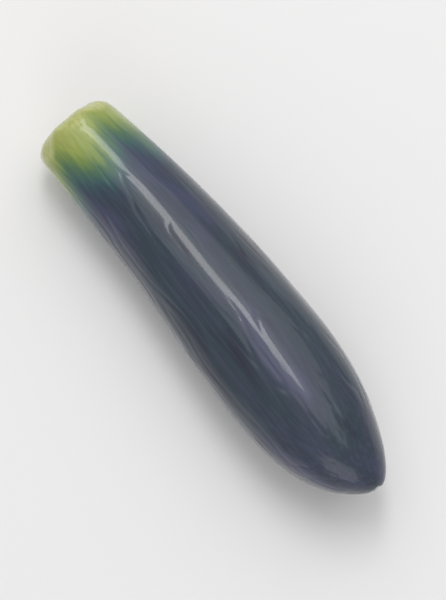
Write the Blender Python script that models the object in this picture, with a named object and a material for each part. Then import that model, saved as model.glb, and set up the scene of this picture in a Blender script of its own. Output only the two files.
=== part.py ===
"""Sendai long eggplant: picked early, lightly pickled whole, with its calyx pared away.

The fruit is one grown piece, so it is one solid. It lies on its side on a small flat spot,
with its stem end towards -X, its blossom end towards +X and the hollow of its curve
towards -Y. The origin is on the surface that it rests on, under the middle of its box.
Lengths are in metres. A station is a distance along the spine from the cut face.
"""

import math
import random

import bmesh
import bpy
from mathutils import Vector

# Profile of the fruit
LENGTH = 0.092  # along the spine, from the cut face to the blossom end
BODY_RADIUS = 0.0125
NECK_SHARE = 0.68  # of the body radius, at the stem end
FATTEST_SHARE = 0.68  # of the length
SWELLING = 1.35  # above 1, the neck fills out early
NOSE_SHARE = 0.60  # of the length, where the blossom end starts to close
NOSE_BLUNTNESS = 2.6
NOSE_POINT = 0.58  # above 0.5, the nose ends in a slight point
SECTION_HEIGHT = 0.965  # height of a section over its width

# Curve of the spine
BEND = math.radians(-13)  # turn from end to end in plan, towards -Y
BOW = 0.010  # how fast both ends lift from the surface
TIP_SHIFT = Vector((0, 0.0024, 0.0006))  # the tip points a little out and up
TIP_SHIFT_POWER = 20

# Unevenness of the skin: waves around, turns along the length, phase and height
SKIN_WAVES = (
    (2, 0.90, 0.8, 0.00018),
    (3, -1.50, 0.0, 0.00014),
    (5, 0.35, 0.4, 0.00009),
)

# Stem end, where a knife has taken the stalk and the calyx
CUT_RADIUS = 0.0074  # from the middle of the cut face out to a facet
FACETS = 8
FACET_SEED = 11
FACET_SLOPE = 0.42
FACET_WANDER = 0.27  # of the spacing between two facets
FACET_DEPTH_SPREAD = 0.045
FACET_SLOPE_SPREAD = 0.18
RIDGE_SHARPNESS = 16  # of the ridges between facets
RIDGE_BLEND = 0.0008  # over which a facet runs out into the skin
RIM_ROUND = 0.0024  # the rim of the cut face is softly domed
CUT_SLANT = 0.10  # the cut isn't quite square to the spine
SLANT_DIRECTION = 0.6  # around the spine, in radians
SLANT_SHARE = 0.15  # of the length, where the slant has faded out
CORE_RADIUS = 0.0026  # woody middle of the cut stalk
CORE_EDGE = 0.0008
CORE_PROUD = 0.00035
PALE_LENGTH = 0.0105  # what the calyx kept from colouring

# Blossom end, and the spot that the soft fruit rests on
SCAR_DEPTH = 0.0003
PRESSED_DEPTH = 0.0004
PRESS_BLEND = 0.00008

# Mesh
SEGMENTS = 56
RINGS = 80
FACE_RINGS = 7  # rings of the mesh on the cut face
END_CROWDING = 0.8  # how much closer the rings are towards both ends
BALANCE_STEPS = 200

SKIN_COLOUR = (0.030, 0.033, 0.047, 1)
PALE_COLOUR = (0.330, 0.360, 0.075, 1)
CORE_COLOUR = (0.500, 0.440, 0.210, 1)


def smooth_step(low, high, value):
    share = min(max((value - low) / (high - low), 0), 1)
    return share * share * (3 - 2 * share)


def soft_min(first, second, blend):
    near = max(blend - abs(first - second), 0) / blend
    return min(first, second) - near * near * blend / 4


def soft_floor(height, blend):
    """The height where it clears the surface, and exactly 0 where the fruit is pressed flat."""
    if height <= -blend:
        return 0.0
    if height >= blend:
        return height
    return (height + blend) ** 2 / (4 * blend)


def mean_radius(station):
    """Mean radius of the whole fruit: a slim neck, a fat body and a blunt nose."""
    share = station / LENGTH
    to_fattest = max(1 - share / FATTEST_SHARE, 0)
    body = 1 - (1 - NECK_SHARE) * to_fattest**SWELLING
    closing = max(share - NOSE_SHARE, 0) / (1 - NOSE_SHARE)
    nose = max(1 - closing**NOSE_BLUNTNESS, 0) ** NOSE_POINT
    return BODY_RADIUS * body * nose


def skin_radius(station, around):
    """Radius of the uncut skin, with its slow waves."""
    share = station / LENGTH
    swell = math.sin(math.pi * share)
    radius = mean_radius(station)
    for waves, turns, phase, height in SKIN_WAVES:
        radius += height * swell * math.sin(waves * around + math.tau * turns * share + phase)
    return radius


def draw_facets():
    """Direction, depth and slope of each knife cut, uneven as a hand leaves them."""
    draw = random.Random(FACET_SEED)
    facets = []
    for facet in range(FACETS):
        wander, deeper, steeper = (draw.uniform(-1, 1) for _ in range(3))
        direction = math.tau * (facet + FACET_WANDER * wander) / FACETS
        depth = CUT_RADIUS * (1 + FACET_DEPTH_SPREAD * deeper)
        slope = FACET_SLOPE * (1 + FACET_SLOPE_SPREAD * steeper)
        facets.append((direction, depth, slope))
    return facets


def facet_radius(station, around, facets):
    """Distance from the spine to the knife cuts, planes that meet in soft ridges."""
    closeness = 0
    for direction, depth, slope in facets:
        facing = max(math.cos(around - direction), 0)
        closeness += (facing / (depth + slope * station)) ** RIDGE_SHARPNESS
    return closeness ** (-1 / RIDGE_SHARPNESS)


def radius_at(station, around, facets):
    cut = facet_radius(station, around, facets)
    radius = soft_min(skin_radius(station, around), cut, RIDGE_BLEND)
    if station < RIM_ROUND:
        radius -= RIM_ROUND - math.sqrt(RIM_ROUND**2 - (RIM_ROUND - station) ** 2)
    return radius


def balance_station():
    """Station of the fruit's centre of mass, under which it rests."""
    stations = [LENGTH * (step + 0.5) / BALANCE_STEPS for step in range(BALANCE_STEPS)]
    weights = [mean_radius(station) ** 2 for station in stations]
    moments = [station * weight for station, weight in zip(stations, weights)]
    return sum(moments) / sum(weights)


BALANCE = balance_station()


def spine_height(station):
    """Height of the spine, tilted so that the underside is level where the fruit balances."""
    step = LENGTH / BALANCE_STEPS
    before, under, after = (skin_radius(BALANCE + way * step, math.pi) for way in (-1, 0, 1))
    slope = (after - before) / (2 * step)
    level = SECTION_HEIGHT * (under + slope * (station - BALANCE))
    return level + BOW * ((station - BALANCE) / LENGTH) ** 2 - PRESSED_DEPTH


def fruit_point(station, radius, around):
    """The point at a station and radius; around is 0 on top and turns towards +Y."""
    heading = BEND * (station / LENGTH - 0.5)
    turn_radius = LENGTH / BEND
    point = Vector((turn_radius * math.sin(heading), turn_radius * (1 - math.cos(heading)), 0))
    point.z = spine_height(station)
    point += TIP_SHIFT * max(station / LENGTH, 0) ** TIP_SHIFT_POWER
    sideways = Vector((-math.sin(heading), math.cos(heading), 0))
    upward = Vector((0, 0, SECTION_HEIGHT))
    point += radius * (math.cos(around) * upward + math.sin(around) * sideways)
    point.z = soft_floor(point.z, PRESS_BLEND)
    return point


def station_of_ring(ring):
    """Stations along the side, closer together towards both ends."""
    share = max(ring - FACE_RINGS, 0) / (RINGS - FACE_RINGS)
    eased = (1 - math.cos(math.pi * share)) / 2
    return LENGTH * (share + END_CROWDING * (eased - share))


def surface_point(ring, around, facets):
    """The point of the surface on a ring of the mesh, counted from the stem end."""
    station = station_of_ring(ring)
    radius = radius_at(station, around, facets)
    if ring < FACE_RINGS:
        radius *= ring / FACE_RINGS
        station -= CORE_PROUD * smooth_step(CORE_RADIUS + CORE_EDGE, CORE_RADIUS, radius)
    if ring == RINGS:
        radius = 0
        station -= SCAR_DEPTH
    fading = 1 - smooth_step(0, SLANT_SHARE, station / LENGTH)
    slant = CUT_SLANT * fading * radius * math.cos(around - SLANT_DIRECTION)
    return fruit_point(station + slant, radius, around)


def region_of(ring):
    """Material slot of the faces that reach out to a ring: 0 skin, 1 pale end, 2 core."""
    face_radius = CUT_RADIUS - RIM_ROUND
    if ring * face_radius / FACE_RINGS <= CORE_RADIUS + CORE_EDGE:
        return 2
    return int(station_of_ring(ring) < PALE_LENGTH)


def centre_box(body):
    """Moves the mesh so that the middle of its box is over the origin."""
    for axis in (0, 1):
        values = [vertex.co[axis] for vertex in body.verts]
        middle = (min(values) + max(values)) / 2
        for vertex in body.verts:
            vertex.co[axis] -= middle


def surface_material(name, colour, roughness):
    material = bpy.data.materials.new(name)
    material.use_nodes = True
    shader = material.node_tree.nodes["Principled BSDF"]
    shader.inputs["Base Color"].default_value = colour
    shader.inputs["Roughness"].default_value = roughness
    shader.inputs["Metallic"].default_value = 0
    return material


def build_fruit(collection):
    """A sphere whose rings become the cut face and the sections of the fruit."""
    body = bmesh.new()
    bmesh.ops.create_uvsphere(body, u_segments=SEGMENTS, v_segments=RINGS, radius=1)
    rings = {}
    for vertex in body.verts:
        polar = math.acos(min(max(vertex.co.z, -1), 1))
        rings[vertex] = round(RINGS * polar / math.pi)
    for face in body.faces:
        face.material_index = region_of(max(rings[vertex] for vertex in face.verts))
        face.smooth = True
    facets = draw_facets()
    for vertex, ring in rings.items():
        around = math.atan2(vertex.co.y, vertex.co.x)
        vertex.co = surface_point(ring, around, facets)
    centre_box(body)
    mesh = bpy.data.meshes.new("fruit")
    body.to_mesh(mesh)
    body.free()
    mesh.materials.append(surface_material("dark_skin", SKIN_COLOUR, 0.3))
    mesh.materials.append(surface_material("pale_stem_end", PALE_COLOUR, 0.4))
    mesh.materials.append(surface_material("stalk_core", CORE_COLOUR, 0.6))
    collection.objects.link(bpy.data.objects.new("fruit", mesh))


def main():
    for left_over in list(bpy.data.objects):
        bpy.data.objects.remove(left_over)
    collection = bpy.data.collections.new("sendai_long_eggplant")
    bpy.context.scene.collection.children.link(collection)
    build_fruit(collection)


main()
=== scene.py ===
"""Looks of a sendai long eggplant: one small fruit, pickled whole, lying on a plain pale floor.

Lengths are in metres. A station is a distance along the fruit's spine from the cut stem end,
and around is an angle about the spine, 0 on top, that turns towards +Y.
"""

import math
import random

import bmesh
import bpy
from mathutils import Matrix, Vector, noise


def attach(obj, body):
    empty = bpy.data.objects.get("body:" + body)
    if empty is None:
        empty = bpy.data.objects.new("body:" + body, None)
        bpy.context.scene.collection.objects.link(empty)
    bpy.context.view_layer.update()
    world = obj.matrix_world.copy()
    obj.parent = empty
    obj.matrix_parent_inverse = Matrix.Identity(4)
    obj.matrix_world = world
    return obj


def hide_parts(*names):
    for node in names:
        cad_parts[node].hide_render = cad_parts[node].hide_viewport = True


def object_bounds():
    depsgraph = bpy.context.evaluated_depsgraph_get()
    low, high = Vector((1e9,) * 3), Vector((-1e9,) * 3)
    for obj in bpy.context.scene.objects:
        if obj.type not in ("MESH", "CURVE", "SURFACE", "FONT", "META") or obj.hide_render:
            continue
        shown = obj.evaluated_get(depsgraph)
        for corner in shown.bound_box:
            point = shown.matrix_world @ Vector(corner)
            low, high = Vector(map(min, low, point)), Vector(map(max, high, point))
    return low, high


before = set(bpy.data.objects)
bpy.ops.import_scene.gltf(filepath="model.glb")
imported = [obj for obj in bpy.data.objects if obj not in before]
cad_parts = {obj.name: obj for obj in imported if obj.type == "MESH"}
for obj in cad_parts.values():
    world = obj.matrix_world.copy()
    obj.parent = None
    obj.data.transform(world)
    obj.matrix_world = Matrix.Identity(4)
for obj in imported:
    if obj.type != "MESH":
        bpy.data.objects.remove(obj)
cad_low, cad_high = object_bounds()

# Grown form of the fruit
# Firm, brined flesh in a thin tough skin, in one piece: slim at the neck, fattest past the
# middle and blunt at the nose. It bent a little as it hung from the plant, and its soft
# underside is pressed flat where it lies.
LENGTH = 0.092  # along the spine, from the cut face to the blossom end
BODY_RADIUS = 0.0125
NECK_SHARE = 0.68  # of the body radius, at the stem end
FATTEST_SHARE = 0.68  # of the length
SWELLING = 1.35  # above 1, the neck fills out early
NOSE_SHARE = 0.60  # of the length, where the blossom end starts to close
NOSE_BLUNTNESS = 2.6
NOSE_POINT = 0.58  # above 0.5, the nose ends in a slight point
SECTION_HEIGHT = 0.965  # height of a section over its width
SKIN_WAVES = (  # waves around, turns along the length, phase and height
    (2, 0.90, 0.8, 0.00018),
    (3, -1.50, 0.0, 0.00014),
    (5, 0.35, 0.4, 0.00009),
)
BEND = math.radians(-13)  # turn from end to end in plan, towards -Y
BOW = 0.010  # how fast both ends lift from the floor
TIP_SHIFT = Vector((0, 0.0024, 0.0006))  # the tip points a little out and up
TIP_SHIFT_POWER = 20
PRESSED_DEPTH = 0.0004
PRESS_BLEND = 0.00008
BALANCE_STEPS = 200


def smooth_step(low, high, value):
    share = min(max((value - low) / (high - low), 0), 1)
    return share * share * (3 - 2 * share)


def mean_radius(station):
    share = station / LENGTH
    to_fattest = max(1 - share / FATTEST_SHARE, 0)
    body = 1 - (1 - NECK_SHARE) * to_fattest**SWELLING
    closing = max(share - NOSE_SHARE, 0) / (1 - NOSE_SHARE)
    nose = max(1 - closing**NOSE_BLUNTNESS, 0) ** NOSE_POINT
    return BODY_RADIUS * body * nose


def grown_radius(station, around):
    """Radius of the whole skin, with the slow waves that it grew with."""
    share = station / LENGTH
    swell = math.sin(math.pi * share)
    radius = mean_radius(station)
    for waves, turns, phase, height in SKIN_WAVES:
        radius += height * swell * math.sin(waves * around + math.tau * turns * share + phase)
    return radius


def find_balance():
    """Station of the centre of mass, and the radius and slope of the underside there."""
    stations = [LENGTH * (step + 0.5) / BALANCE_STEPS for step in range(BALANCE_STEPS)]
    weights = [mean_radius(station) ** 2 for station in stations]
    moments = [station * weight for station, weight in zip(stations, weights)]
    balance = sum(moments) / sum(weights)
    step = LENGTH / BALANCE_STEPS
    before, under, after = (grown_radius(balance + way * step, math.pi) for way in (-1, 0, 1))
    return balance, under, (after - before) / (2 * step)


BALANCE, UNDER_RADIUS, UNDER_SLOPE = find_balance()


def place_on_spine(station, radius, around):
    """The point at a station and radius, on the bent spine and above the floor."""
    heading = BEND * (station / LENGTH - 0.5)
    turn_radius = LENGTH / BEND
    point = Vector((turn_radius * math.sin(heading), turn_radius * (1 - math.cos(heading)), 0))
    point.z = SECTION_HEIGHT * (UNDER_RADIUS + UNDER_SLOPE * (station - BALANCE))
    point.z += BOW * ((station - BALANCE) / LENGTH) ** 2 - PRESSED_DEPTH
    point += TIP_SHIFT * max(station / LENGTH, 0) ** TIP_SHIFT_POWER
    sideways = Vector((-math.sin(heading), math.cos(heading), 0))
    upward = Vector((0, 0, SECTION_HEIGHT))
    point += radius * (math.cos(around) * upward + math.sin(around) * sideways)
    if point.z < PRESS_BLEND:
        point.z = max(point.z + PRESS_BLEND, 0) ** 2 / (4 * PRESS_BLEND)
    return point


# Knife work at the stem end
# The leafy calyx has been pared away in short strokes, which leave flat facets of bare flesh
# that meet in soft ridges. One more stroke has taken the stalk off, nearly square to the fruit.
CUT_RADIUS = 0.0074  # from the middle of the cut face out to a facet
FACETS = 8
FACET_SEED = 11
FACET_SLOPE = 0.42
FACET_WANDER = 0.27  # of the spacing between two facets
FACET_DEPTH_SPREAD = 0.045
FACET_SLOPE_SPREAD = 0.18
RIDGE_SHARPNESS = 24  # of the ridges between facets
RIDGE_BLEND = 0.0005  # over which a facet runs out into the skin
RIDGE_SHARE = 0.955  # of the nearest facet's closeness, where a ridge starts
PARED_EDGE = 0.00025  # flesh shows fully in a cut this deep, and not at all as far outside it
RIM_ROUND = 0.0024  # the rim of the cut face is softly domed
CUT_SLANT = 0.10  # the cut isn't quite square to the spine
SLANT_DIRECTION = 0.6  # around the spine, in radians
SLANT_SHARE = 0.15  # of the length, where the slant has faded out


def draw_facets():
    """Direction, depth and slope of each knife stroke, uneven as a hand leaves them."""
    draw = random.Random(FACET_SEED)
    facets = []
    for facet in range(FACETS):
        wander, deeper, steeper = (draw.uniform(-1, 1) for _ in range(3))
        direction = math.tau * (facet + FACET_WANDER * wander) / FACETS
        depth = CUT_RADIUS * (1 + FACET_DEPTH_SPREAD * deeper)
        slope = FACET_SLOPE * (1 + FACET_SLOPE_SPREAD * steeper)
        facets.append((direction, depth, slope))
    return facets


KNIFE_FACETS = draw_facets()


def knife_planes(station, around):
    """Distance from the spine to the knife's planes, and how near a ridge between two is."""
    closeness = []
    for direction, depth, slope in KNIFE_FACETS:
        facing = max(math.cos(around - direction), 0)
        closeness.append(facing / (depth + slope * station))
    nearest, second = sorted(closeness)[-1:-3:-1]
    total = sum(near**RIDGE_SHARPNESS for near in closeness)
    return total ** (-1 / RIDGE_SHARPNESS), second / nearest


def rim_loss(station):
    """How far the soft rim of the cut face falls inside the facets."""
    if station >= RIM_ROUND:
        return 0
    return RIM_ROUND - math.sqrt(RIM_ROUND**2 - (RIM_ROUND - station) ** 2)


def pare(station, around):
    """Radius of the pared fruit, and from 0 to 1 how bare it is there and how ridged."""
    grown = grown_radius(station, around)
    cut, ridge = knife_planes(station, around)
    near = max(RIDGE_BLEND - abs(grown - cut), 0) / RIDGE_BLEND
    radius = min(grown, cut) - near * near * RIDGE_BLEND / 4 - rim_loss(station)
    pared = smooth_step(-PARED_EDGE, PARED_EDGE, grown - cut)
    return radius, pared, pared * smooth_step(RIDGE_SHARE, 1, ridge)


def slant_of_cut(station, radius, around):
    """How far the cut's slant moves a point along the fruit, less and less up the neck."""
    fading = 1 - smooth_step(0, SLANT_SHARE, station / LENGTH)
    return CUT_SLANT * fading * radius * math.cos(around - SLANT_DIRECTION)


# Cut face
# Pale flesh that has sunk a little in the brine round the woody stump of the stalk. A ring of
# tough strands stands out at the stump's edge, and its pith has cracked from the middle.
STUMP_RADIUS = 0.0026
STUMP_EDGE = 0.0008
STUMP_PROUD = 0.00035
RING_WANDER = 0.35  # of the pith's radius, how far it strays from round
RING_WANDER_CYCLES = 2.5
RING_WANDER_SEED = 4
STUMP_WANDER = 0.35  # share of that wander which the stump's edge takes
STRANDS = 22
STRAND_RING = 0.0029
STRAND_WIDTH = 0.00035
STRAND_PROUD = 0.00010
STRAND_SWAY = 3  # in radians, times the ring's wander
STRAND_SHARPNESS = 4
STRAND_EVENNESS = 0.6  # of a strand's height, with noise added
STRAND_CYCLES = 5.0
STRAND_SEED = 12
SUNKEN_DEPTH = 0.00018
SUNKEN_MIDDLE = 0.0042
SUNKEN_WIDTH = 0.0008
PITH_RADIUS = 0.0011
PITH_FLOOR = 0.2  # of the pith's radius, inside which it is deepest
PITH_DEPTH = 0.00022
KNIFE_MARK_SPACING = 0.0009
KNIFE_MARK_DEPTH = 0.000015
KNIFE_MARK_DIRECTION = 1.1  # in radians
KNIFE_MARK_WANDER = 1.6  # of the spacing
KNIFE_WANDER_SCALE = (0.5, 0.1)  # cycles for one spacing, across and along the marks
KNIFE_WANDER_SEED = 9


def bump_at(value, middle, width):
    return math.exp(-(((value - middle) / width) ** 2))


def noise_around(around, cycles, seed):
    """Noise from -1 to 1 that closes on itself once round the fruit."""
    return noise.noise(Vector((cycles * math.cos(around), cycles * math.sin(around), seed)))


def strand_height(radius, around, wander):
    """Height of the strands, from 0 between them to about 1 at the middle of one."""
    strand = abs(math.cos(STRANDS / 2 * around + STRAND_SWAY * wander)) ** STRAND_SHARPNESS
    strand *= STRAND_EVENNESS + noise_around(around, STRAND_CYCLES, STRAND_SEED)
    return strand * bump_at(radius, STRAND_RING, STRAND_WIDTH)


def knife_mark(radius, around):
    """Height of the fine, unsteady marks that the blade left, from -1 to 1."""
    across = radius * math.cos(around - KNIFE_MARK_DIRECTION) / KNIFE_MARK_SPACING
    along = radius * math.sin(around - KNIFE_MARK_DIRECTION) / KNIFE_MARK_SPACING
    scale_across, scale_along = KNIFE_WANDER_SCALE
    place = Vector((scale_across * across, scale_along * along, KNIFE_WANDER_SEED))
    return math.sin(math.tau * across + math.tau * KNIFE_MARK_WANDER * noise.noise(place))


def cut_relief(radius, around):
    """How far the cut face stands out, towards the missing stalk."""
    wander = RING_WANDER * noise_around(around, RING_WANDER_CYCLES, RING_WANDER_SEED)
    uneven_radius = radius * (1 + STUMP_WANDER * wander)
    stump = smooth_step(STUMP_RADIUS + STUMP_EDGE, STUMP_RADIUS, uneven_radius)
    pith = smooth_step(PITH_RADIUS * (1 + wander), PITH_FLOOR * PITH_RADIUS, radius)
    relief = (STUMP_PROUD - STRAND_PROUD) * stump
    relief += STRAND_PROUD * strand_height(radius, around, wander)
    relief -= SUNKEN_DEPTH * bump_at(radius, SUNKEN_MIDDLE, SUNKEN_WIDTH)
    relief -= PITH_DEPTH * pith
    relief += KNIFE_MARK_DEPTH * knife_mark(radius, around)
    return relief


# Brined skin
# The brine has drawn water from the flesh, so that the skin lies in fine creases along the
# fruit. Where it lay pressed in the brine it is a little flatter. Both only go inwards from
# the grown form.
FOLD_LENGTH = 0.030
FOLD_WIDTH = 0.0042
FOLD_DEPTH = 0.00017
FOLD_SEED = 3
CREASE_LENGTH = 0.016
CREASE_WIDTH = 0.0021
CREASE_DEPTH = 0.00010
CREASE_SHARPNESS = 4.5
CREASE_SEED = 17
PATCH_SIZE = 0.012  # of the patches that are creased
PATCH_RANGE = (-0.35, 0.45)  # noise of a smooth patch and of a fully creased one
PATCH_SEED = 41
DENT_LENGTH = 0.024
DENT_WIDTH = 0.010
DENT_DEPTH = 0.00030
DENT_RANGE = (-0.05, 0.65)  # noise at a dent's edge and at its deepest
DENT_SEED = 60
STEM_FADING = 0.006  # from the cut face, where the creases are at full depth
NOSE_FADING = 0.0025  # from the blossom end, likewise


def noise_along(straight, length, width, seed):
    """Noise from -1 to 1 that is drawn out along the fruit."""
    return noise.noise(Vector((straight.x / length + seed, straight.y / width, straight.z / width)))


def brine_depth(straight):
    """Depth of the folds, creases and dents at a point of the straightened fruit."""
    fold = noise_along(straight, FOLD_LENGTH, FOLD_WIDTH, FOLD_SEED)
    crossing = abs(noise_along(straight, CREASE_LENGTH, CREASE_WIDTH, CREASE_SEED))
    crease = max(1 - CREASE_SHARPNESS * crossing, 0) ** 2
    patch = smooth_step(*PATCH_RANGE, noise_along(straight, PATCH_SIZE, PATCH_SIZE, PATCH_SEED))
    dent = smooth_step(*DENT_RANGE, noise_along(straight, DENT_LENGTH, DENT_WIDTH, DENT_SEED))
    depth = FOLD_DEPTH * (0.5 + 0.5 * fold) + CREASE_DEPTH * crease * patch
    depth += DENT_DEPTH * dent
    to_nose = LENGTH - straight.x
    return depth * smooth_step(0, STEM_FADING, straight.x) * smooth_step(0, NOSE_FADING, to_nose)


# Blossom scar
# The dry, corky spot where the flower's style dropped off. It is a small dimple with an uneven
# lip, at the tip of the nose.
SCAR_RADIUS = 0.0011
SCAR_WAVES = ((3, 1, 0.10), (5, 0, 0.07))  # waves around, phase and share of the radius
SCAR_DEPTH = 0.00035
DIMPLE_RANGE = (1.6, 0.3)  # of the scar's radius, where the dimple starts and is deepest
LIP_HEIGHT = 0.00003
LIP_SHARE = 1.15  # of the scar's radius
LIP_WIDTH = 0.00028
CORK_RANGE = (1.10, 0.70)  # of the scar's radius, over which skin turns to cork


def scar_edge(around):
    unevenness = sum(share * math.sin(waves * around + phase) for waves, phase, share in SCAR_WAVES)
    return SCAR_RADIUS * (1 + unevenness)


def scar_relief(radius, around):
    """How far the tip stands out, along the fruit."""
    edge = scar_edge(around)
    start, deepest = (share * edge for share in DIMPLE_RANGE)
    dimple = SCAR_DEPTH * smooth_step(start, deepest, radius)
    return LIP_HEIGHT * bump_at(radius, LIP_SHARE * edge, LIP_WIDTH) - dimple


def corkiness(radius, around):
    """From 0 on skin to 1 on the scar's cork."""
    start, full = (share * scar_edge(around) for share in CORK_RANGE)
    return smooth_step(start, full, radius)


# Mesh of the fruit
# The rings of one sphere become the cut face, the pared neck, the body and the nose. Each
# vertex keeps what its finish depends on: its place on the straightened fruit, how far it is
# from the edge that the calyx had, and how pared, ridged or scarred it is.
SEGMENTS = 240
RINGS = 340
FACE_RINGS = 40  # rings of the mesh on the cut face
RIM_RINGS = 6  # outermost of them, where the face's relief runs out
END_CROWDING = 0.95  # how much closer the rings are towards both ends
CALYX_REACH = 0.0085
CALYX_LOBES = 5
CALYX_LOBE_DEPTH = 0.0024
CALYX_PHASE = 0.5  # in radians
LOBE_MIDDLE = 1.27  # twice the mean of a lobe, so that the lobes reach CALYX_REACH on average
FINISH_VALUES = ("from_calyx", "pared", "ridge", "scarred")


def station_of_ring(ring):
    """Stations along the side, closer together towards both ends."""
    share = max(ring - FACE_RINGS, 0) / (RINGS - FACE_RINGS)
    eased = (1 - math.cos(math.pi * share)) / 2
    return LENGTH * (share + END_CROWDING * (eased - share))


def straightened(station, radius, around):
    """The point at a station and radius of the fruit, if its spine were straight."""
    return Vector((station, radius * math.cos(around), radius * math.sin(around)))


def distance_from_calyx(station, around):
    """Distance past the pointed lobes that the calyx covered the skin with."""
    lobe = abs(math.cos(CALYX_LOBES / 2 * around + CALYX_PHASE))
    return station - CALYX_REACH - CALYX_LOBE_DEPTH * (2 * lobe - LOBE_MIDDLE)


def shape_vertex(ring, around):
    """Place of a vertex, its place on the straightened fruit, and what its finish reads."""
    station = station_of_ring(ring)
    radius, pared, ridge = pare(station, around)
    radius -= brine_depth(straightened(station, radius, around)) * (1 - pared)
    scarred = 0
    if ring < FACE_RINGS:
        radius *= ring / FACE_RINGS
        fading = smooth_step(FACE_RINGS, FACE_RINGS - RIM_RINGS, ring)
        station -= cut_relief(radius, around) * fading
    if ring == RINGS:
        radius = 0
    if station > LENGTH / 2:
        station += scar_relief(radius, around)
        scarred = corkiness(radius, around)
    finish = (distance_from_calyx(station, around), pared, ridge, scarred)
    place = place_on_spine(station + slant_of_cut(station, radius, around), radius, around)
    return place, straightened(station, radius, around), finish


def number_rings(body):
    """The ring of each vertex of the sphere, counted from the stem end."""
    rings = {}
    for vertex in body.verts:
        polar = math.acos(min(max(vertex.co.z, -1), 1))
        rings[vertex] = round(RINGS * polar / math.pi)
    return rings


def centre_box(body):
    """Moves the mesh so that the middle of its box is over the origin, as on the solid."""
    for axis in (0, 1):
        values = [vertex.co[axis] for vertex in body.verts]
        middle = (min(values) + max(values)) / 2
        for vertex in body.verts:
            vertex.co[axis] -= middle


def grow_fruit():
    """The whole fruit; its first material is the skin's and its second the cut face's."""
    body = bmesh.new()
    bmesh.ops.create_uvsphere(body, u_segments=SEGMENTS, v_segments=RINGS, radius=1)
    straight_layer = body.verts.layers.float_vector.new("straight")
    layers = [body.verts.layers.float.new(name) for name in FINISH_VALUES]
    rings = number_rings(body)
    for face in body.faces:
        face.smooth = True
        face.material_index = int(max(rings[vertex] for vertex in face.verts) <= FACE_RINGS)
    for vertex, ring in rings.items():
        around = math.atan2(vertex.co.y, vertex.co.x)
        vertex.co, vertex[straight_layer], finish = shape_vertex(ring, around)
        for layer, value in zip(layers, finish):
            vertex[layer] = value
    centre_box(body)
    mesh = bpy.data.meshes.new("pickled_eggplant")
    body.to_mesh(mesh)
    body.free()
    fruit = bpy.data.objects.new("pickled_eggplant", mesh)
    bpy.context.scene.collection.objects.link(fruit)
    return fruit


eggplant = grow_fruit()
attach(eggplant, "root")
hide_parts("fruit")


# Finish of the skin
# Thin, waxy skin, wet with brine, which has turned its violet-black pigment indigo. Where the
# calyx shaded it no pigment grew, so it is olive green and runs out in streaks of green and
# teal. Bare flesh shows where the knife went, creamy green with brown on the ridges.
SKIN_BANDS = (  # distance past the calyx's edge, and colour
    (-0.0080, "9fa55c"),
    (-0.0035, "8f9d51"),
    (-0.0005, "6e854a"),
    (0.0020, "4b6c50"),
    (0.0050, "385858"),
    (0.0085, "304353"),
    (0.0125, "303748"),
)
DARK_FROM = SKIN_BANDS[-3][0]
DARK_TO = SKIN_BANDS[-1][0]
STREAK_REACH = 0.0075  # how far the green runs out along the finer streaks
BLOTCH_REACH = 0.0045
NIGHT_BANDS = (  # value of the streaks, and colour of the dark skin
    (0.32, "262b3b"),
    (0.42, "2b3944"),
    (0.52, "313849"),
    (0.62, "3a4059"),
    (0.72, "443e54"),
)
GRAIN_COLOUR = "525b70"
GRAIN_RANGE = (0.45, 0.72)  # value of the grain's pattern, from none to its full strength
GRAIN_STRENGTH = 0.24
FLESH_BANDS = ((0.30, "a2a85c"), (0.52, "adb26b"), (0.72, "b8bb80"))
RIDGE_COLOUR = "a3924a"
BROWNING_RANGE = (0.40, 0.62)  # value of the ridges' spots, from none to full browning
RIDGE_BROWNING = 0.35
SCAR_BANDS = ((0.35, "57493a"), (0.62, "85745a"))

# Length, width and detail of the patterns. The skin's grain and the fibres of the flesh are
# finer in life, about 0.1 mm, and are drawn coarser so that they show.
GREEN_STREAKS = (0.014, 0.0010, 4.0)
GREEN_BLOTCHES = (0.012, 0.0055, 3.0)
NIGHT_STREAKS = (0.030, 0.0070, 5.0)
SKIN_GRAIN = (0.022, 0.0007, 4.0)
FLESH_FIBRES = (0.008, 0.0007, 4.0)
RIDGE_SPOTS = (0.0012, 0.0012, 3.0)
CORK_GRAIN = (0.0004, 0.0004, 4.0)
WAX_PATCHES = (0.018, 0.006, 3.0)
SKIN_CRINKLES = (0.0040, 0.0006, 5.0)

CRINKLE_DEPTH = 0.00004
WAX_RANGE = (0.3, 0.7)  # value of the wax's patches, for the two ends of the roughness
SKIN_ROUGHNESS = (0.30, 0.45)
GLOW_EDGE = 0.004  # either way from the calyx's edge, over which the skin turns opaque
FLESH_GLOW = 0.35  # how much of the light spreads inside the pale flesh
FLESH_GLOW_DEPTH = 0.0012
FLESH_GLOW_COLOURS = (1.0, 0.9, 0.35)  # shares of that depth for red, green and blue
BRINE_IOR = 1.33


def hex_colour(code):
    """An sRGB hex colour as linear red, green, blue and 1."""
    shares = [int(code[start : start + 2], 16) / 255 for start in (0, 2, 4)]
    linear = [
        share / 12.92 if share <= 0.04045 else ((share + 0.055) / 1.055) ** 2.4 for share in shares
    ]
    return (*linear, 1)


def fill_sockets(tree, node, inputs):
    """Gives a node its inputs; an input is a value or another node's output."""
    for socket, value in inputs.items():
        if isinstance(value, bpy.types.NodeSocket):
            tree.links.new(value, node.inputs[socket])
        else:
            node.inputs[socket].default_value = value


def add_node(tree, kind, inputs, **settings):
    """Adds a node with its settings and inputs."""
    node = tree.nodes.new(kind)
    for name, value in settings.items():
        setattr(node, name, value)
    fill_sockets(tree, node, inputs)
    return node


def start_material(name):
    """A new material, its node tree and its shader."""
    material = bpy.data.materials.new(name)
    material.use_nodes = True
    return material, material.node_tree, material.node_tree.nodes["Principled BSDF"]


# Sockets of a Mix node that mixes colours
FACTOR, FROM_COLOUR, TO_COLOUR, MIXED = 0, 6, 7, 2


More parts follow.
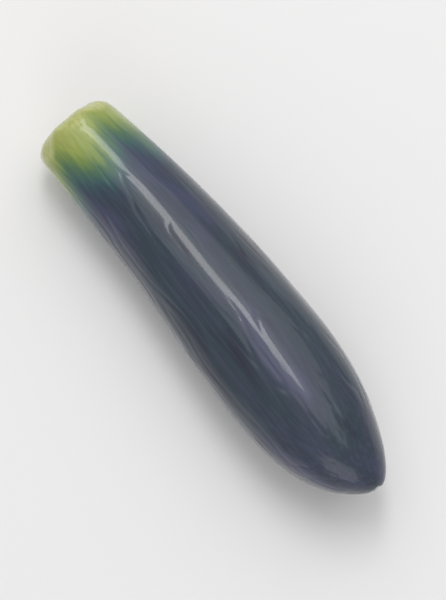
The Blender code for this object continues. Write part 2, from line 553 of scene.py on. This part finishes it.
def streak_pattern(tree, straight, streaks):
    """Noise from 0 to 1 in streaks of a length, width and detail along the fruit."""
    length, width, detail = streaks
    stretched = add_node(
        tree,
        "ShaderNodeVectorMath",
        {0: straight, 1: (1 / length, 1 / width, 1 / width)},
        operation="MULTIPLY",
    )
    pattern = add_node(
        tree,
        "ShaderNodeTexNoise",
        {"Vector": stretched.outputs[0], "Scale": 1.0, "Detail": detail},
    )
    return pattern.outputs["Fac"]


def colour_bands(tree, value, bands):
    """Colours that blend from band to band as a value rises; a band is a value and a colour."""
    first, last = bands[0][0], bands[-1][0]
    share = add_node(
        tree, "ShaderNodeMapRange", {"Value": value, "From Min": first, "From Max": last}
    )
    ramp_node = add_node(tree, "ShaderNodeValToRGB", {"Fac": share.outputs["Result"]})
    elements = ramp_node.color_ramp.elements
    elements.remove(elements[-1])
    elements[0].color = hex_colour(bands[0][1])
    for place, code in bands[1:]:
        elements.new((place - first) / (last - first)).color = hex_colour(code)
    return ramp_node.outputs["Color"]


def distance_into_dark(tree, straight, from_calyx):
    """Distance past the calyx's edge, made uneven by fine streaks and broad blotches."""
    streaked = add_node(
        tree,
        "ShaderNodeMath",
        {0: streak_pattern(tree, straight, GREEN_STREAKS), 1: STREAK_REACH, 2: from_calyx},
        operation="MULTIPLY_ADD",
    )
    blotched = add_node(
        tree,
        "ShaderNodeMath",
        {
            0: streak_pattern(tree, straight, GREEN_BLOTCHES),
            1: BLOTCH_REACH,
            2: streaked.outputs[0],
        },
        operation="MULTIPLY_ADD",
    )
    centred = add_node(
        tree,
        "ShaderNodeMath",
        {0: blotched.outputs[0], 1: (STREAK_REACH + BLOTCH_REACH) / 2},
        operation="SUBTRACT",
    )
    return centred.outputs[0]


def night_colour(tree, straight):
    """Colour of the fully dark skin: streaks of indigo, teal and violet under a fine grain."""
    night = colour_bands(tree, streak_pattern(tree, straight, NIGHT_STREAKS), NIGHT_BANDS)
    grain = add_node(
        tree,
        "ShaderNodeMapRange",
        {
            "Value": streak_pattern(tree, straight, SKIN_GRAIN),
            "From Min": GRAIN_RANGE[0],
            "From Max": GRAIN_RANGE[1],
            "To Max": GRAIN_STRENGTH,
        },
    )
    grained = add_node(
        tree,
        "ShaderNodeMix",
        {FACTOR: grain.outputs["Result"], FROM_COLOUR: night, TO_COLOUR: hex_colour(GRAIN_COLOUR)},
        data_type="RGBA",
    )
    return grained.outputs[MIXED]


def skin_colour(tree, straight, from_calyx):
    """Colour of the uncut skin, from olive green through teal to the dark skin."""
    distance = distance_into_dark(tree, straight, from_calyx)
    darkness = add_node(
        tree,
        "ShaderNodeMapRange",
        {"Value": distance, "From Min": DARK_FROM, "From Max": DARK_TO},
    )
    mixed = add_node(
        tree,
        "ShaderNodeMix",
        {
            FACTOR: darkness.outputs["Result"],
            FROM_COLOUR: colour_bands(tree, distance, SKIN_BANDS),
            TO_COLOUR: night_colour(tree, straight),
        },
        data_type="RGBA",
    )
    return mixed.outputs[MIXED]


def ridge_browning(tree, straight, ridge):
    """How brown the ridges between the knife's facets are, in spots."""
    spots = add_node(
        tree,
        "ShaderNodeMapRange",
        {
            "Value": streak_pattern(tree, straight, RIDGE_SPOTS),
            "From Min": BROWNING_RANGE[0],
            "From Max": BROWNING_RANGE[1],
            "To Max": RIDGE_BROWNING,
        },
    )
    browned = add_node(
        tree, "ShaderNodeMath", {0: ridge, 1: spots.outputs["Result"]}, operation="MULTIPLY"
    )
    return browned.outputs[0]


def outside_colour(tree, straight, values):
    """The skin's colour, with flesh where it is pared, brown ridges and the corky scar."""
    flesh = colour_bands(tree, streak_pattern(tree, straight, FLESH_FIBRES), FLESH_BANDS)
    cork = colour_bands(tree, streak_pattern(tree, straight, CORK_GRAIN), SCAR_BANDS)
    colour = skin_colour(tree, straight, values["from_calyx"])
    for mask, finish in (
        (values["pared"], flesh),
        (ridge_browning(tree, straight, values["ridge"]), hex_colour(RIDGE_COLOUR)),
        (values["scarred"], cork),
    ):
        layer = add_node(
            tree,
            "ShaderNodeMix",
            {FACTOR: mask, FROM_COLOUR: colour, TO_COLOUR: finish},
            data_type="RGBA",
        )
        colour = layer.outputs[MIXED]
    return colour


def brined_eggplant_skin():
    """Waxy skin under a film of brine: a deep colour, and a wet shine that the creases bend."""
    material, tree, shader = start_material("brined_eggplant_skin")
    straight = add_node(tree, "ShaderNodeAttribute", {}, attribute_name="straight").outputs["Vector"]
    values = {
        name: add_node(tree, "ShaderNodeAttribute", {}, attribute_name=name).outputs["Fac"]
        for name in FINISH_VALUES
    }
    glow = add_node(
        tree,
        "ShaderNodeMapRange",
        {
            "Value": values["from_calyx"],
            "From Min": GLOW_EDGE,
            "From Max": -GLOW_EDGE,
            "To Max": FLESH_GLOW,
        },
    )
    roughness = add_node(
        tree,
        "ShaderNodeMapRange",
        {
            "Value": streak_pattern(tree, straight, WAX_PATCHES),
            "From Min": WAX_RANGE[0],
            "From Max": WAX_RANGE[1],
            "To Min": SKIN_ROUGHNESS[0],
            "To Max": SKIN_ROUGHNESS[1],
        },
    )
    crinkles = streak_pattern(tree, straight, SKIN_CRINKLES)
    bump = add_node(
        tree, "ShaderNodeBump", {"Strength": 1.0, "Distance": CRINKLE_DEPTH, "Height": crinkles}
    )
    finish = {
        "Base Color": outside_colour(tree, straight, values),
        "Roughness": roughness.outputs["Result"],
        "Normal": bump.outputs["Normal"],
        "IOR": 1.37,
        "Subsurface Weight": glow.outputs["Result"],
        "Subsurface Radius": FLESH_GLOW_COLOURS,
        "Subsurface Scale": FLESH_GLOW_DEPTH,
        "Coat Weight": 1.0,
        "Coat Roughness": 0.10,
        "Coat IOR": BRINE_IOR,
    }
    fill_sockets(tree, shader, finish)
    return material


eggplant.data.materials.append(brined_eggplant_skin())

# Finish of the cut face
# Bare brined flesh round the stump of the stalk: creamy green and damp, with a browned ring of
# strands at the stump's edge and a paler, dry pith.
FACE_BANDS = (  # distance from the middle, and colour
    (0.0, "908350"),
    (0.0007, "b3a872"),
    (0.0022, "a69d62"),
    (0.0029, "8b8145"),
    (0.0036, "a0a35b"),
    (0.0043, "abb067"),
)
FLESH_FROM = 0.0033  # from the middle, where the plain flesh starts to show
FLESH_TO = 0.0043
FACE_GRAIN = (0.0006, 0.0006, 4.0)  # the ends of the fibres, drawn coarser as they are too
FACE_GRAIN_DEPTH = 0.00006
RING_BLUR = 0.0012  # width over which the grain spreads each ring


def distance_from_middle(tree, straight, grain):
    """Distance from the middle of the cut face, made uneven by its grain."""
    across = add_node(
        tree, "ShaderNodeVectorMath", {0: straight, 1: (0, 1, 1)}, operation="MULTIPLY"
    )
    radius = add_node(tree, "ShaderNodeVectorMath", {0: across.outputs[0]}, operation="LENGTH")
    uneven = add_node(
        tree,
        "ShaderNodeMath",
        {0: grain, 1: RING_BLUR, 2: radius.outputs["Value"]},
        operation="MULTIPLY_ADD",
    )
    centred = add_node(
        tree, "ShaderNodeMath", {0: uneven.outputs[0], 1: RING_BLUR / 2}, operation="SUBTRACT"
    )
    return centred.outputs[0]


def damp_cut_flesh():
    """Cut flesh: nearly matt, and coloured in rings by how tough its strands are."""
    material, tree, shader = start_material("damp_cut_flesh")
    straight = add_node(tree, "ShaderNodeAttribute", {}, attribute_name="straight").outputs["Vector"]
    grain = streak_pattern(tree, straight, FACE_GRAIN)
    distance = distance_from_middle(tree, straight, grain)
    outside = add_node(
        tree,
        "ShaderNodeMapRange",
        {"Value": distance, "From Min": FLESH_FROM, "From Max": FLESH_TO},
    )
    flesh = colour_bands(tree, streak_pattern(tree, straight, FLESH_FIBRES), FLESH_BANDS)
    mixed = add_node(
        tree,
        "ShaderNodeMix",
        {
            FACTOR: outside.outputs["Result"],
            FROM_COLOUR: colour_bands(tree, distance, FACE_BANDS),
            TO_COLOUR: flesh,
        },
        data_type="RGBA",
    )
    bump = add_node(
        tree, "ShaderNodeBump", {"Strength": 1.0, "Distance": FACE_GRAIN_DEPTH, "Height": grain}
    )
    finish = {
        "Base Color": mixed.outputs[MIXED],
        "Roughness": 0.5,
        "Normal": bump.outputs["Normal"],
        "IOR": 1.4,
        "Subsurface Weight": FLESH_GLOW,
        "Subsurface Radius": FLESH_GLOW_COLOURS,
        "Subsurface Scale": FLESH_GLOW_DEPTH,
        "Coat Weight": 0.3,
        "Coat Roughness": 0.2,
        "Coat IOR": BRINE_IOR,
    }
    fill_sockets(tree, shader, finish)
    return material


eggplant.data.materials.append(damp_cut_flesh())

# Floor
# A plain pale sheet of paper, much larger than the view. It lies a hair's breadth under the
# fruit, so that the two surfaces don't coincide.
FLOOR_SIZE = 3.0
FLOOR_GAP = 0.00003
PAPER_COLOUR = "e9e8e8"


def matt_paper():
    """Uncoated paper: pale, a touch warm and without shine."""
    material, tree, shader = start_material("matt_paper")
    fill_sockets(tree, shader, {"Base Color": hex_colour(PAPER_COLOUR), "Roughness": 0.9})
    return material


def lay_floor():
    sheet = bmesh.new()
    bmesh.ops.create_grid(sheet, x_segments=1, y_segments=1, size=FLOOR_SIZE / 2)
    bmesh.ops.translate(sheet, vec=(0, 0, -FLOOR_GAP), verts=sheet.verts)
    mesh = bpy.data.meshes.new("floor")
    sheet.to_mesh(mesh)
    sheet.free()
    mesh.materials.append(matt_paper())
    floor = bpy.data.objects.new("floor", mesh)
    bpy.context.scene.collection.objects.link(floor)


lay_floor()

# Lights
# A broad softbox overhead gives the long soft shine, a narrow strip puts a brighter line in it,
# a third fills the side nearer to the camera, and a white room lights the rest.
ROOM_STRENGTH = 0.45


def add_softbox(name, place, size, watts):
    """A rectangular area light that faces the fruit."""
    light = bpy.data.lights.new(name, "AREA")
    light.shape = "RECTANGLE"
    light.size, light.size_y = size
    light.energy = watts
    softbox = bpy.data.objects.new(name, light)
    softbox.location = place
    softbox.rotation_euler = (-Vector(place)).to_track_quat("-Z", "Y").to_euler()
    bpy.context.scene.collection.objects.link(softbox)


def whiten_room():
    room = bpy.data.worlds.new("white_room")
    bpy.context.scene.world = room
    room.use_nodes = True
    background = room.node_tree.nodes["Background"]
    fill_sockets(room.node_tree, background, {"Color": (1, 1, 1, 1), "Strength": ROOM_STRENGTH})


add_softbox("overhead", place=(-0.30, 0.30, 0.80), size=(1.25, 1.25), watts=4.8)
add_softbox("strip", place=(-0.22, 0.16, 0.70), size=(0.15, 0.40), watts=1.3)
add_softbox("fill", place=(0.60, -0.50, 0.50), size=(0.60, 0.60), watts=1.4)
whiten_room()
bpy.context.scene.view_settings.view_transform = "Standard"

# Camera
# It looks nearly straight down, with the stem end at the upper left and the hollow side of the
# curve at the lower left. The sensor's size is in millimetres, as the lens is.
AZIMUTH = math.radians(52)
ELEVATION = math.radians(79)
DISTANCE = 0.5
VIEW_HEIGHT = 0.113
SENSOR = 36


def aim_camera():
    across = math.cos(ELEVATION)
    back = Vector((math.sin(AZIMUTH) * across, -math.cos(AZIMUTH) * across, math.sin(ELEVATION)))
    lens = bpy.data.cameras.new("camera")
    lens.sensor_width = SENSOR
    lens.lens = SENSOR * DISTANCE / VIEW_HEIGHT
    camera = bpy.data.objects.new("camera", lens)
    camera.location = (Vector(cad_low) + Vector(cad_high)) / 2 + back * DISTANCE
    camera.rotation_euler = (-back).to_track_quat("-Z", "Y").to_euler()
    bpy.context.scene.collection.objects.link(camera)
    bpy.context.scene.camera = camera


aim_camera()
